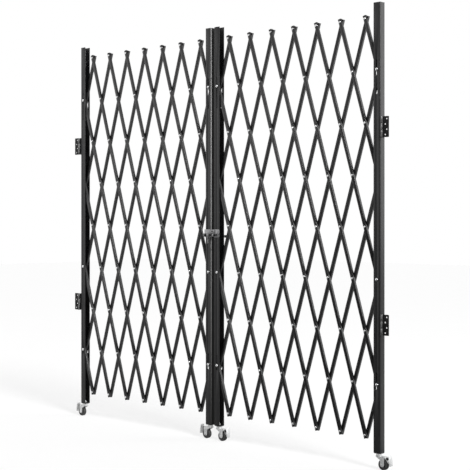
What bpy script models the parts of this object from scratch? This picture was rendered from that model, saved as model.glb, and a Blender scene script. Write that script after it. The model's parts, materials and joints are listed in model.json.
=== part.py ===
"""Double folding security gate.

Two scissor lattices of riveted channel bars hang between four channel posts, and each post
stands on a swivel caster. The outer posts turn on butt hinges at the two walls, and the inner
posts meet at a slide bolt with a padlock hasp.

The gate runs along X with its front towards -Y and its height along Z. Every piece is placed
in the gate's own coordinates, with X from the middle of the opening, Y from the front face of
the posts and Z from the floor, under one empty that puts the origin on the left wall, at the
middle of the back face of the upper wall leaf.
"""

import math

import bmesh
import bpy
from mathutils import Matrix, Vector

# Whole gate, in metres
CASTER_HEIGHT = 0.076
MEETING_GAP = 0.024
RUN_GAP = 0.0003
OVERRUN = 0.002

# Lattice: columns are half pitches across, levels are half pitches down from the peaks
COLUMNS = 14
LEVELS = 8
FIXED_LEVEL = 5
SLIDER_LEVELS = (1, 7)
PIVOT_HEIGHT = 0.8675
LINK_LENGTH = 0.251
REST_ANGLE = math.radians(17.0)
FOLDED_ANGLE = math.radians(3.5)
OPEN_ANGLE = math.radians(32.0)

# Channel bars and their rivets
BAR_WIDTH = 0.0165
BAR_DEPTH = 0.0125
BAR_WALL = 0.0012
BAR_OVERHANG = 0.015
RIVET_RADIUS = 0.003
RIVET_HEAD_RADIUS = 0.0048
RIVET_HEAD_HEIGHT = 0.0025
RIVET_TAIL = 0.002
RIVET_SIDES = 6

# Channel posts and their bolts
POST_RISE = 0.06634
POST_WIDTH = 0.038
POST_DEPTH = 0.035
POST_WALL = 0.002
BOLT_INSET = 0.020
BOLT_RADIUS = 0.004
BOLT_HEAD_RADIUS = 0.0063
BOLT_HEAD_HEIGHT = 0.005
NUT_RADIUS = 0.0068
NUT_HEIGHT = 0.006
BOLT_TAIL = 0.003
BOLT_SIDES = 6
SLOT_END_STEPS = 4
FOOT_PLATE_WALL = 0.006
FOOT_PLATE_DROP = 0.003

# Butt hinges at the walls
UPPER_HINGE_HEIGHT = 1.563
LOWER_HINGE_HEIGHT = 0.663
LEAF_HEIGHT = 0.0955
LEAF_WIDTH = 0.033
LEAF_WALL = 0.0025
POST_LEAF_DEPTH = 0.028
KNUCKLE_COUNT = 3
KNUCKLE_RADIUS = 0.005
KNUCKLE_SIDES = 10
PIN_RADIUS = 0.0025
PIN_SIDES = 8
PIN_OUTSIDE = 0.012
PIN_FORWARD = 0.006
SCREW_RADIUS = 0.0025
SCREW_SIDES = 8
SCREW_ROW_SHARES = (0.375, 0.125, -0.125, -0.375)
SCREW_INSET_SHARES = (0.62, 0.36)

# Slide bolt and hasp where the halves meet
LATCH_ABOVE_PIVOT = 0.201
LATCH_PLATE_HEIGHT = 0.042
LATCH_PLATE_WALL = 0.002
LATCH_BOLT_DROP = 0.0085
LATCH_BOLT_RADIUS = 0.005
LATCH_BOLT_FORWARD = 0.009
LATCH_SIDES = 8
LATCH_CLEARANCE = 0.0005
GUIDE_WIDTH = 0.006
GUIDE_WALL = 0.003
KEEPER_WIDTH = 0.010
COLLAR_WIDTH = 0.008
COLLAR_RADIUS = 0.0084
LEVER_LENGTH = 0.044
LEVER_WIDTH = 0.010
LEVER_WALL = 0.004
END_KNOB_RADIUS = 0.0068
END_KNOB_LENGTH = 0.011
HASP_HEIGHT = 0.020
HASP_REACH = 0.022
HASP_LAP = 0.008
PADLOCK_RADIUS = 0.0045
REAR_KNOB_RADIUS = 0.007
REAR_KNOB_LENGTH = 0.012
REAR_STEM_RADIUS = 0.004
REAR_STEM_LENGTH = 0.010
REAR_KNOB_INSET = 0.006
REAR_KNOB_DROP = 0.0155

# Casters
WHEEL_RADIUS = 0.025
WHEEL_WIDTH = 0.020
WHEEL_HUB_WIDTH = 0.0215
WHEEL_EDGE = 0.003
WHEEL_SIDES = 16
TRAIL = 0.026
FORK_WALL = 0.002
FORK_GAP = 0.0012
CROWN_TOP_DROP = 0.0145
CROWN_FRONT = 0.014
CROWN_BACK = 0.038
LEG_TOP_FRONT = 0.012
LEG_FOOT_HALF = 0.007
LEG_FOOT_DROP = 0.008
RACE_RADIUS = 0.014
RACE_SIDES = 12
KING_PIN_RADIUS = 0.004
KING_NUT_RADIUS = 0.007
KING_NUT_HEIGHT = 0.005
AXLE_RADIUS = 0.003
AXLE_NUT_RADIUS = 0.0055
AXLE_NUT_HEIGHT = 0.003
PIN_BLANK_SIDES = 8
PEDAL_LENGTH = 0.051
PEDAL_WIDTH = 0.018
PEDAL_WALL = 0.002
PEDAL_SLOPE = math.radians(-50.0)
TOE_PLATE_LENGTH = 0.048
TOE_PLATE_WIDTH = 0.025
TOE_PLATE_WALL = 0.0025
TOE_PLATE_LEAN = math.radians(8.0)

# Sizes that follow from the ones above
HALF_PITCH = LINK_LENGTH * math.sin(REST_ANGLE)
LEVEL_STEP = LINK_LENGTH * math.cos(REST_ANGLE)
HALF_WIDTH = COLUMNS * HALF_PITCH
GATE_HEIGHT = PIVOT_HEIGHT + FIXED_LEVEL * LEVEL_STEP + POST_RISE
MEETING_X = MEETING_GAP / 2 + BOLT_INSET
POST_MIDDLE = POST_WIDTH / 2 - BOLT_INSET
POST_OPEN_EDGE = POST_WIDTH - BOLT_INSET
LAYER_Y = POST_DEPTH / 2
POST_FOOT = CASTER_HEIGHT
FRONT_WEB_Y = LAYER_Y - RUN_GAP / 2 - BAR_DEPTH
BACK_WEB_Y = LAYER_Y + RUN_GAP / 2
HINGE_HEIGHTS = (UPPER_HINGE_HEIGHT, LOWER_HINGE_HEIGHT)
PIN_X = -BOLT_INSET - PIN_OUTSIDE
PIN_Y = -PIN_FORWARD
LEAF_EDGE_GAP = KNUCKLE_RADIUS + LATCH_CLEARANCE
LATCH_HEIGHT = PIVOT_HEIGHT + LATCH_ABOVE_PIVOT
LATCH_BOLT_Y = -LATCH_PLATE_WALL - LATCH_BOLT_FORWARD
LATCH_BOLT_Z = LATCH_HEIGHT - LATCH_BOLT_DROP
LATCH_TRAVEL = POST_WIDTH - 2 * GUIDE_WIDTH - COLLAR_WIDTH - 2 * LATCH_CLEARANCE
COLLAR_X = -MEETING_GAP / 2 - GUIDE_WIDTH - LATCH_CLEARANCE - COLLAR_WIDTH / 2

# Colour, roughness and metallic value of each finish
FINISHES = {
    "paint": ((0.030, 0.030, 0.032, 1.0), 0.48, 0.0),
    "zinc": ((0.55, 0.55, 0.56, 1.0), 0.35, 1.0),
    "tyre": ((0.018, 0.018, 0.018, 1.0), 0.70, 0.0),
}
SMOOTH_ANGLE = math.radians(40.0)


def bore_radius(shaft_radius, sides):
    """Corner radius of a many-sided bore in which a shaft turns freely."""
    return (shaft_radius + RUN_GAP) / math.cos(math.pi / sides)


def prism(outline, low, high, axis="Z"):
    """Closed solid with a flat outline across an axis, from low to high along it."""
    order = {"X": (2, 0, 1), "Y": (0, 2, 1), "Z": (0, 1, 2)}[axis]
    form = bmesh.new()
    corners = []
    for first, second in outline:
        flat = (first, second, low)
        corners.append(form.verts.new([flat[i] for i in order]))
    face = form.faces.new(corners)
    raised = bmesh.ops.extrude_face_region(form, geom=[face])["geom"]
    along = Vector([(0, 0, high - low)[i] for i in order])
    tops = [item for item in raised if isinstance(item, bmesh.types.BMVert)]
    bmesh.ops.translate(form, verts=tops, vec=along)
    bmesh.ops.recalc_face_normals(form, faces=form.faces)
    return form


def block(x, y, z):
    """Box from three (low, high) pairs."""
    outline = [(x[0], y[0]), (x[1], y[0]), (x[1], y[1]), (x[0], y[1])]
    return prism(outline, z[0], z[1])


def turned(profile, sides, axis="Z", ring=False):
    """Solid turned from (radius, along) points; the ends are capped unless it is a ring."""
    form = bmesh.new()
    points = [form.verts.new((radius, 0, along)) for radius, along in profile]
    pairs = list(zip(points, points[1:]))
    if ring:
        pairs.append((points[-1], points[0]))
    edges = [form.edges.new(pair) for pair in pairs]
    bmesh.ops.spin(
        form,
        geom=points + edges,
        cent=(0, 0, 0),
        axis=(0, 0, 1),
        angle=2 * math.pi,
        steps=sides,
        use_merge=True,
    )
    bmesh.ops.holes_fill(form, edges=form.edges, sides=sides)
    quarter = {"X": ("Y", 90), "Y": ("X", -90), "Z": ("Z", 0)}[axis]
    turn = Matrix.Rotation(math.radians(quarter[1]), 4, quarter[0])
    bmesh.ops.transform(form, matrix=turn, verts=form.verts)
    bmesh.ops.recalc_face_normals(form, faces=form.faces)
    return form


def shifted(form, x=0, y=0, z=0):
    """The same form moved."""
    bmesh.ops.translate(form, verts=form.verts, vec=(x, y, z))
    return form


def tilted(form, angle, centre):
    """The same form turned about the Y direction through a centre, its +X end rising."""
    turn = Matrix.Rotation(-angle, 3, "Y")
    bmesh.ops.rotate(form, verts=form.verts, cent=centre, matrix=turn)
    return form


def mirrored(form):
    """The form seen in a mirror across X."""
    bmesh.ops.scale(form, verts=form.verts, vec=(-1, 1, 1))
    bmesh.ops.reverse_faces(form, faces=form.faces)
    return form


def upside_down(form):
    """The form turned half round about the Y direction."""
    return tilted(form, math.pi, (0, 0, 0))


def gathered(forms):
    """Several forms that don't touch, held in one."""
    whole = bmesh.new()
    for form in forms:
        mesh = bpy.data.meshes.new("gathered")
        form.to_mesh(mesh)
        form.free()
        whole.from_mesh(mesh)
        bpy.data.meshes.remove(mesh)
    return whole


def carved(body, tool, operation):
    """The body with the tool's form joined to it or cut out of it."""
    helpers = []
    for form in (body, tool):
        mesh = bpy.data.meshes.new("helper")
        form.to_mesh(mesh)
        form.free()
        helper = bpy.data.objects.new("helper", mesh)
        helper.hide_render = True
        helper.display_type = "WIRE"
        bpy.context.scene.collection.objects.link(helper)
        helpers.append(helper)
    boolean = helpers[0].modifiers.new("carve", "BOOLEAN")
    boolean.operation = operation
    boolean.solver = "EXACT"
    boolean.object = helpers[1]
    result = bmesh.new()
    result.from_object(helpers[0], bpy.context.evaluated_depsgraph_get())
    for helper in helpers:
        mesh = helper.data
        bpy.data.objects.remove(helper)
        bpy.data.meshes.remove(mesh)
    return result


def joined(body, *tools):
    """The body with each tool's form welded to it."""
    for tool in tools:
        body = carved(body, tool, "UNION")
    return body


def cut(body, *tools):
    """The body with each tool's form taken out of it."""
    for tool in tools:
        body = carved(body, tool, "DIFFERENCE")
    return body


def finish_material(name, finish):
    """A Principled material for one piece."""
    colour, roughness, metallic = FINISHES[finish]
    material = bpy.data.materials.new(name)
    material.use_nodes = True
    shader = material.node_tree.nodes["Principled BSDF"]
    shader.inputs["Base Color"].default_value = colour
    shader.inputs["Roughness"].default_value = roughness
    shader.inputs["Metallic"].default_value = metallic
    material.diffuse_color = colour
    return material


def mesh_from(form, name):
    """A mesh made from a form, shaded smooth where it is round."""
    mesh = bpy.data.meshes.new(name)
    form.to_mesh(mesh)
    form.free()
    mesh.shade_smooth()
    mesh.set_sharp_from_angle(angle=SMOOTH_ANGLE)
    return mesh


def piece(name, mesh, finish, frame, place, turn=(0, 0, 0), axis_at=(0, 0, 0)):
    """One named sub-part, placed in the gate's coordinates. Its origin goes to axis_at, a point
    of the mesh that lies on its joint's axis."""
    part = bpy.data.objects.new(name, mesh)
    bpy.context.scene.collection.objects.link(part)
    part.data.materials.append(finish_material(name, finish))
    part.data.transform(Matrix.Translation(-Vector(axis_at)))
    part.parent = frame
    part.location = Vector(place) + Vector(axis_at)
    part.rotation_euler = turn
    return part


# Lattice bars


def front_lines():
    """Bars that fall to the right, by column minus level, from left to right."""
    return range(1 - LEVELS, COLUMNS, 2)


def back_lines():
    """Bars that rise to the right, by column plus level, from left to right."""
    return range(1, COLUMNS + LEVELS, 2)


def front_columns(line):
    """Columns at which a front bar crosses back bars."""
    return range(max(0, line), min(COLUMNS, LEVELS + line) + 1)


def back_columns(line):
    """Columns at which a back bar crosses front bars."""
    return range(max(0, line - LEVELS), min(COLUMNS, line) + 1)


def front_pivot(line):
    """(column, back line) where a front bar hinges: on the bar at the fixed pivot of the near
    post, on that of the far post, or at its own top end."""
    for back in (FIXED_LEVEL, COLUMNS + FIXED_LEVEL):
        column = (back + line) // 2
        if column in front_columns(line) and column in back_columns(back):
            return column, back
    column = max(0, line)
    return column, 2 * column - line


def back_pivot(line):
    """(column, front line) where a back bar hinges. The bar at the near post's fixed pivot
    hinges on the post, so it has no front line."""
    if line == FIXED_LEVEL:
        return 0, None
    column = (line + FIXED_LEVEL) // 2
    if column in back_columns(line) and column in front_columns(FIXED_LEVEL):
        return column, FIXED_LEVEL
    column = min(COLUMNS, line)
    return column, 2 * column - line


def at_post(column):
    """Whether a column of crossings lies inside a post."""
    return column in (0, COLUMNS)


def bar_channel(low, high, web_y):
    """Channel bar along Z with the front of its web at web_y and its lips behind it."""
    half = BAR_WIDTH / 2
    inner = half - BAR_WALL
    web, lip = web_y + BAR_WALL, web_y + BAR_DEPTH
    outline = [
        (-half, web_y),
        (half, web_y),
        (half, lip),
        (inner, lip),
        (inner, web),
        (-inner, web),
        (-inner, lip),
        (-half, lip),
    ]
    return prism(outline, low, high)


def rivet(z):
    """Rivet through both webs, its head on the front bar's web."""
    web_middle = FRONT_WEB_Y + BAR_WALL / 2
    tail_end = BACK_WEB_Y + BAR_WALL + RIVET_TAIL
    profile = [
        (RIVET_HEAD_RADIUS, FRONT_WEB_Y - RIVET_HEAD_HEIGHT),
        (RIVET_HEAD_RADIUS, web_middle),
        (RIVET_RADIUS, web_middle),
        (RIVET_RADIUS, tail_end),
    ]
    return shifted(turned(profile, RIVET_SIDES, "Y"), z=z)


def through_bolt(z, play):
    """Bolt through a post and the two bars in it, with play under its head and its nut."""
    profile = [
        (BOLT_HEAD_RADIUS, -play - BOLT_HEAD_HEIGHT),
        (BOLT_HEAD_RADIUS, -play),
        (BOLT_RADIUS, -play),
        (BOLT_RADIUS, POST_DEPTH + play),
        (NUT_RADIUS, POST_DEPTH + play),
        (NUT_RADIUS, POST_DEPTH + play + NUT_HEIGHT),
        (BOLT_RADIUS, POST_DEPTH + play + NUT_HEIGHT),
        (BOLT_RADIUS, POST_DEPTH + play + NUT_HEIGHT + BOLT_TAIL),
    ]
    return shifted(turned(profile, BOLT_SIDES, "Y"), z=z)


def bar_hole(z, shaft_radius):
    """Cutter for a hole through a bar's web."""
    radius = bore_radius(shaft_radius, RIVET_SIDES)
    reach = BAR_DEPTH + OVERRUN
    profile = [(radius, LAYER_Y - reach), (radius, LAYER_Y + reach)]
    return shifted(turned(profile, RIVET_SIDES, "Y"), z=z)


def front_bar(line):
    """Front bar with its rivets and slider bolts, its hinge point at the origin."""
    pivot_level = front_pivot(line)[0] - line
    fixings, holes = [], []
    for column in front_columns(line):
        level = column - line
        z = (pivot_level - level) * LINK_LENGTH
        if at_post(column) and level == FIXED_LEVEL:
            holes.append(bar_hole(z, BOLT_RADIUS))
        elif at_post(column) and level in SLIDER_LEVELS:
            fixings.append(through_bolt(z, RUN_GAP))
        else:
            fixings.append(rivet(z))
    columns = front_columns(line)
    top = (pivot_level - (columns[0] - line)) * LINK_LENGTH + BAR_OVERHANG
    bottom = (pivot_level - (columns[-1] - line)) * LINK_LENGTH - BAR_OVERHANG
    bar = bar_channel(bottom, top, FRONT_WEB_Y)
    bar = joined(bar, gathered(fixings))
    if holes:
        bar = cut(bar, gathered(holes))
    return bar


def back_bar(line):
    """Back bar with its holes, its hinge point at the origin."""
    pivot_level = line - back_pivot(line)[0]
    holes = []
    for column in back_columns(line):
        level = line - column
        bolted = at_post(column) and (level == FIXED_LEVEL or level in SLIDER_LEVELS)
        radius = BOLT_RADIUS if bolted else RIVET_RADIUS
        holes.append(bar_hole((pivot_level - level) * LINK_LENGTH, radius))
    columns = back_columns(line)
    top = (pivot_level - (line - columns[-1])) * LINK_LENGTH + BAR_OVERHANG
    bottom = (pivot_level - (line - columns[0])) * LINK_LENGTH - BAR_OVERHANG
    bar = bar_channel(bottom, top, BACK_WEB_Y)
    return cut(bar, gathered(holes))


def crossing(bolt_x, column, level):
    """Place of a crossing at rest, on the gate's front plane."""
    x = bolt_x + column * HALF_PITCH
    return Vector((x, 0, PIVOT_HEIGHT + (FIXED_LEVEL - level) * LEVEL_STEP))


def lattice(half, bolt_x, frame):
    """All bars of one half, from the near post's bolt line at bolt_x."""
    for number, line in enumerate(front_lines(), 1):
        name = f"{half}_front_bar_{number:02d}"
        column = front_pivot(line)[0]
        place = crossing(bolt_x, column, column - line)
        mesh = mesh_from(front_bar(line), name)
        piece(name, mesh, "paint", frame, place, (0, -REST_ANGLE, 0))
    for number, line in enumerate(back_lines(), 1):
        name = f"{half}_back_bar_{number:02d}"
        column = back_pivot(line)[0]
        place = crossing(bolt_x, column, line - column)
        mesh = mesh_from(back_bar(line), name)
        piece(name, mesh, "paint", frame, place, (0, REST_ANGLE, 0))


# Posts, with the bolt line at X zero and the channel open towards +X


def slot_range(level):
    """Lowest and highest place of a slider bolt between folded and fully open."""
    rise = FIXED_LEVEL - level
    ends = [PIVOT_HEIGHT + rise * LINK_LENGTH * math.cos(a) for a in (FOLDED_ANGLE, OPEN_ANGLE)]
    return min(ends), max(ends)


def slot(level):
    """Cutter for a slider bolt's slot through both flanges."""
    low, high = slot_range(level)
    radius = bore_radius(BOLT_RADIUS, BOLT_SIDES)
    outline = []
    for step in range(SLOT_END_STEPS + 1):
        angle = math.pi * step / SLOT_END_STEPS
        outline.append((radius * math.cos(angle), high + radius * math.sin(angle)))
    for step in range(SLOT_END_STEPS + 1):
        angle = math.pi + math.pi * step / SLOT_END_STEPS
        outline.append((radius * math.cos(angle), low + radius * math.sin(angle)))
    return prism(outline, -OVERRUN, POST_DEPTH + OVERRUN, "Y")


def foot_plate():
    """Plate across the foot of a post, which the caster swivels under."""
    inset = POST_WALL / 2
    low = POST_FOOT - FOOT_PLATE_DROP
    return block(
        (-BOLT_INSET + inset, POST_OPEN_EDGE - inset),
        (inset, POST_DEPTH - inset),
        (low, low + FOOT_PLATE_WALL),
    )


def king_pin_bore():
    """Cutter for the king pin's hole through the foot plate."""
    radius = bore_radius(KING_PIN_RADIUS, PIN_BLANK_SIDES)
    low = POST_FOOT - FOOT_PLATE_DROP - OVERRUN
    profile = [(radius, low), (radius, low + FOOT_PLATE_WALL + 2 * OVERRUN)]
    return shifted(turned(profile, PIN_BLANK_SIDES), POST_MIDDLE, LAYER_Y)


def post(fittings=()):
    """Channel post with its foot plate, its fixed bolt and what is welded to it, slotted last."""
    inner = -BOLT_INSET + POST_WALL
    outline = [
        (-BOLT_INSET, 0),
        (POST_OPEN_EDGE, 0),
        (POST_OPEN_EDGE, POST_WALL),
        (inner, POST_WALL),
        (inner, POST_DEPTH - POST_WALL),
        (POST_OPEN_EDGE, POST_DEPTH - POST_WALL),
        (POST_OPEN_EDGE, POST_DEPTH),
        (-BOLT_INSET, POST_DEPTH),
    ]
    fixed_bolt = through_bolt(PIVOT_HEIGHT, -POST_WALL / 2)
    body = prism(outline, POST_FOOT, GATE_HEIGHT)
    body = joined(body, gathered([foot_plate(), fixed_bolt, *fittings]))
    cutters = [slot(level) for level in SLIDER_LEVELS]
    return cut(body, gathered([*cutters, king_pin_bore()]))


# Wall hinges, round a pin at PIN_X, PIN_Y


def knuckle_ends(index):
    """Lowest and highest place of one knuckle, counted from the bottom, about the middle."""
    length = LEAF_HEIGHT / KNUCKLE_COUNT
    low = -LEAF_HEIGHT / 2 + index * length
    return low + RUN_GAP / 2, low + length - RUN_GAP / 2


def knuckle(index):
    """One knuckle round the pin, without its bore."""
    profile = [(KNUCKLE_RADIUS, end) for end in knuckle_ends(index)]
    return shifted(turned(profile, KNUCKLE_SIDES), PIN_X, PIN_Y)


def post_leaf(height):
    """Bent leaf welded to the post's web, with its outer knuckles."""
    web = -BOLT_INSET + POST_WALL / 2
    back = PIN_Y + KNUCKLE_RADIUS
    edge = PIN_X + LEAF_EDGE_GAP
    outline = [
        (edge, back - LEAF_WALL),
        (web, back - LEAF_WALL),
        (web, POST_LEAF_DEPTH),
        (-BOLT_INSET - LEAF_WALL, POST_LEAF_DEPTH),
        (-BOLT_INSET - LEAF_WALL, back),
        (edge, back),
    ]
    leaf = prism(outline, -LEAF_HEIGHT / 2, LEAF_HEIGHT / 2)
    for index in range(0, KNUCKLE_COUNT, 2):
        tongue = block((PIN_X, edge + LEAF_WALL), (back - LEAF_WALL, back), knuckle_ends(index))
        leaf = joined(leaf, tongue, knuckle(index))
    radius = bore_radius(PIN_RADIUS, PIN_SIDES)
    reach = LEAF_HEIGHT / 2 + OVERRUN
    bore = turned([(radius, -reach), (radius, reach)], PIN_SIDES)
    return shifted(cut(leaf, shifted(bore, PIN_X, PIN_Y)), z=height)


def wall_leaf():
    """Leaf screwed to the wall, with the middle knuckle and the pin, round the pin's centre."""
    back = KNUCKLE_RADIUS
    outer = -LEAF_EDGE_GAP - LEAF_WIDTH
    half = LEAF_HEIGHT / 2
    leaf = block((outer, -LEAF_EDGE_GAP), (back - LEAF_WALL, back), (-half, half))
    middle = KNUCKLE_COUNT // 2
    tongue = block((-LEAF_EDGE_GAP - LEAF_WALL, 0), (back - LEAF_WALL, back), knuckle_ends(middle))
    barrel = shifted(knuckle(middle), -PIN_X, -PIN_Y)
    pin = turned([(PIN_RADIUS, -half), (PIN_RADIUS, half)], PIN_SIDES)
    leaf = joined(leaf, tongue, barrel, pin)
    screws = []
    for number, row_share in enumerate(SCREW_ROW_SHARES):
        inset_share = SCREW_INSET_SHARES[number % len(SCREW_INSET_SHARES)]
        profile = [(SCREW_RADIUS, back - LEAF_WALL - OVERRUN), (SCREW_RADIUS, back + OVERRUN)]
        screw = turned(profile, SCREW_SIDES, "Y")
        screws.append(shifted(screw, outer + inset_share * LEAF_WIDTH, z=row_share * LEAF_HEIGHT))
    return cut(leaf, gathered(screws))


# Slide bolt and hasp, in the gate's coordinates


def guide(low, high):
    """Saddle round the slide bolt, welded to the latch plate behind it, without its bore."""
    half = LATCH_BOLT_RADIUS + GUIDE_WALL
    front = LATCH_BOLT_Y - half
    chamfer = half / 2
    back = -LATCH_PLATE_WALL / 2
    outline = [
        (back, LATCH_BOLT_Z - half),
        (back, LATCH_BOLT_Z + half),
        (front + chamfer, LATCH_BOLT_Z + half),
        (front, LATCH_BOLT_Z + chamfer),
        (front, LATCH_BOLT_Z - chamfer),
        (front + chamfer, LATCH_BOLT_Z - half),
    ]
    return prism(outline, low, high, "X")


def guide_bore(low, high):
    """Cutter for the slide bolt's way through guides."""
    radius = bore_radius(LATCH_BOLT_RADIUS, LATCH_SIDES)
    profile = [(radius, low - LATCH_CLEARANCE), (radius, high + LATCH_CLEARANCE)]
    return shifted(turned(profile, LATCH_SIDES, "X"), y=LATCH_BOLT_Y, z=LATCH_BOLT_Z)


def latch_plate(low, high):
    """Plate on the front flange of a meeting post."""
    z = (LATCH_HEIGHT - LATCH_PLATE_HEIGHT / 2, LATCH_HEIGHT + LATCH_PLATE_HEIGHT / 2)
    return block((low, high), (-LATCH_PLATE_WALL, POST_WALL / 2), z)


def hasp_heights():
    """Lowest and highest place of the hasp's tongues, just under the top of the plates."""
    top = LATCH_HEIGHT + LATCH_PLATE_HEIGHT / 2 - LATCH_CLEARANCE
    return top - HASP_HEIGHT, top


def padlock_hole():
    """Cutter for the padlock's hole through both tongues."""
    low, high = hasp_heights()
    profile = [(PADLOCK_RADIUS, -3 * LATCH_PLATE_WALL), (PADLOCK_RADIUS, OVERRUN)]
    return shifted(turned(profile, LATCH_SIDES, "Y"), z=(low + high) / 2)


def latch_on_left():
    """Plate of the left meeting post with two guides and the rear tongue of the hasp."""
    inner = -MEETING_GAP / 2
    outer = inner - POST_WIDTH
    inset = LATCH_CLEARANCE
    plate = latch_plate(outer + inset, inner - inset)
    tongue = block(
        (inner - HASP_LAP, inner + HASP_REACH),
        (-LATCH_PLATE_WALL + RUN_GAP, -RUN_GAP),
        hasp_heights(),
    )
    guides = [
        guide(outer + 2 * inset, outer + GUIDE_WIDTH),
        guide(inner - GUIDE_WIDTH, inner - 2 * inset),
    ]
    whole = joined(plate, tongue, *guides)
    return cut(whole, gathered([guide_bore(outer, inner), padlock_hole()]))


def latch_on_right():
    """Plate of the right meeting post with the keeper and the front tongue of the hasp."""
    inner = MEETING_GAP / 2
    outer = inner + POST_WIDTH
    inset = LATCH_CLEARANCE
    plate = latch_plate(inner + inset, outer - inset)
    tongue_back = -LATCH_PLATE_WALL - RUN_GAP
    tongue = block(
        (inner - HASP_REACH, inner + HASP_LAP),
        (tongue_back - LATCH_PLATE_WALL, tongue_back),
        hasp_heights(),
    )
    packer = block(
        (inner + 2 * inset, inner + HASP_LAP - inset),
        (tongue_back - LATCH_PLATE_WALL / 2, -LATCH_PLATE_WALL / 2),
        (hasp_heights()[0] + inset, hasp_heights()[1] - inset),
    )
    whole = joined(plate, packer, tongue, guide(inner + 2 * inset, inner + KEEPER_WIDTH))
    return cut(whole, gathered([guide_bore(inner, inner + KEEPER_WIDTH), padlock_hole()]))


def rear_knob():
    """Knob on a stem behind the right meeting post."""
    stem_end = POST_DEPTH + REAR_STEM_LENGTH
    profile = [
        (REAR_STEM_RADIUS, POST_DEPTH - POST_WALL / 2),
        (REAR_STEM_RADIUS, stem_end),
        (REAR_KNOB_RADIUS, stem_end),
        (REAR_KNOB_RADIUS, stem_end + REAR_KNOB_LENGTH),
    ]
    x = MEETING_GAP / 2 + POST_WIDTH - REAR_KNOB_INSET
    return shifted(turned(profile, LATCH_SIDES, "Y"), x, z=LATCH_HEIGHT - REAR_KNOB_DROP)


def slide_bolt():
    """Round slide bolt with its end knob, about its own axis."""
    tip = MEETING_GAP / 2 + LATCH_TRAVEL - 2 * LATCH_CLEARANCE
    knob_end = -MEETING_GAP / 2 - POST_WIDTH - LATCH_CLEARANCE
    profile = [
        (END_KNOB_RADIUS, knob_end - END_KNOB_LENGTH),
        (END_KNOB_RADIUS, knob_end),
        (LATCH_BOLT_RADIUS, knob_end),
        (LATCH_BOLT_RADIUS, tip),
    ]
    return turned(profile, LATCH_SIDES, "X")


def latch_handle():
    """Collar on the slide bolt with the lever that hangs from it, about the bolt's axis."""
    half = COLLAR_WIDTH / 2
    collar = turned([(COLLAR_RADIUS, -half), (COLLAR_RADIUS, half)], LATCH_SIDES, "X")
    start = LATCH_BOLT_RADIUS + GUIDE_WALL / 2
    lever = block(
        (-half + LATCH_CLEARANCE, half - LATCH_CLEARANCE),
        (-LEVER_WALL / 2, LEVER_WALL / 2),
        (-LEVER_LENGTH, -start),
    )
    grip = block(
        (-LEVER_WIDTH / 2, LEVER_WIDTH / 2),
        (-LEVER_WALL / 2 - LATCH_CLEARANCE, LEVER_WALL / 2 + LATCH_CLEARANCE),
        (-LEVER_LENGTH - LATCH_CLEARANCE, -LEVER_LENGTH / 2),
    )
    radius = bore_radius(LATCH_BOLT_RADIUS, LATCH_SIDES)
    bore = turned([(radius, -COLLAR_WIDTH), (radius, COLLAR_WIDTH)], LATCH_SIDES, "X")
    return cut(joined(collar, lever, grip), bore)


# Casters, about the king pin on the floor, trailing towards +X


def caster_fork():
    """Fork with its race, king pin, axle and brake pedal."""
    crown_top = CASTER_HEIGHT - CROWN_TOP_DROP
    crown_low = crown_top - FORK_WALL
    inner = WHEEL_HUB_WIDTH / 2 + FORK_GAP
    outer = inner + FORK_WALL
    plate_low = CASTER_HEIGHT - FOOT_PLATE_DROP
    fork = block((-CROWN_FRONT, CROWN_BACK), (-outer, outer), (crown_low, crown_top))
    foot = WHEEL_RADIUS - LEG_FOOT_DROP
    leg = [
        (-LEG_TOP_FRONT, crown_low + FORK_WALL / 2),
        (TRAIL - LEG_FOOT_HALF, foot),
        (TRAIL + LEG_FOOT_HALF, foot),
        (CROWN_BACK - FORK_WALL / 2, crown_low + FORK_WALL / 2),
    ]
    for low in (-outer + RUN_GAP, inner + RUN_GAP):
        fork = joined(fork, prism(leg, low, low + FORK_WALL - 2 * RUN_GAP, "Y"))
    race_top = plate_low - RUN_GAP
    plate_top = plate_low + FOOT_PLATE_WALL
    king = [
        (RACE_RADIUS, crown_low + FORK_WALL / 2),
        (RACE_RADIUS, race_top),
        (KING_PIN_RADIUS, race_top),
        (KING_PIN_RADIUS, plate_top + RUN_GAP),
        (KING_NUT_RADIUS, plate_top + RUN_GAP),
        (KING_NUT_RADIUS, plate_top + RUN_GAP + KING_NUT_HEIGHT),
    ]
    nut_end = outer + AXLE_NUT_HEIGHT
    axle = [
        (AXLE_NUT_RADIUS, -nut_end),
        (AXLE_NUT_RADIUS, -outer + FORK_WALL / 2),
        (AXLE_RADIUS, -outer + FORK_WALL / 2),
        (AXLE_RADIUS, outer - FORK_WALL / 2),
        (AXLE_NUT_RADIUS, outer - FORK_WALL / 2),
        (AXLE_NUT_RADIUS, nut_end),
    ]
    pedal_start = CROWN_BACK - PEDAL_WALL
    centre = (pedal_start, 0, crown_top - FORK_WALL / 2)
    half = PEDAL_WALL / 2 - RUN_GAP
    pedal = block(
        (pedal_start, pedal_start + PEDAL_LENGTH),
        (-PEDAL_WIDTH / 2, PEDAL_WIDTH / 2),
        (centre[2] - half, centre[2] + half),
    )
    reach = PEDAL_LENGTH - PEDAL_WALL
    toe_x = pedal_start + reach * math.cos(PEDAL_SLOPE)
    toe_z = centre[2] + reach * math.sin(PEDAL_SLOPE)
    toe_plate = block(
        (toe_x - TOE_PLATE_WALL / 2, toe_x + TOE_PLATE_WALL / 2),
        (-TOE_PLATE_WIDTH / 2, TOE_PLATE_WIDTH / 2),
        (toe_z, toe_z + TOE_PLATE_LENGTH),
    )
    return joined(
        fork,
        turned(king, RACE_SIDES),
        shifted(turned(axle, PIN_BLANK_SIDES, "Y"), TRAIL, z=WHEEL_RADIUS),
        tilted(pedal, PEDAL_SLOPE, centre),
        tilted(toe_plate, TOE_PLATE_LEAN, (toe_x, 0, toe_z)),
    )


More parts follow.
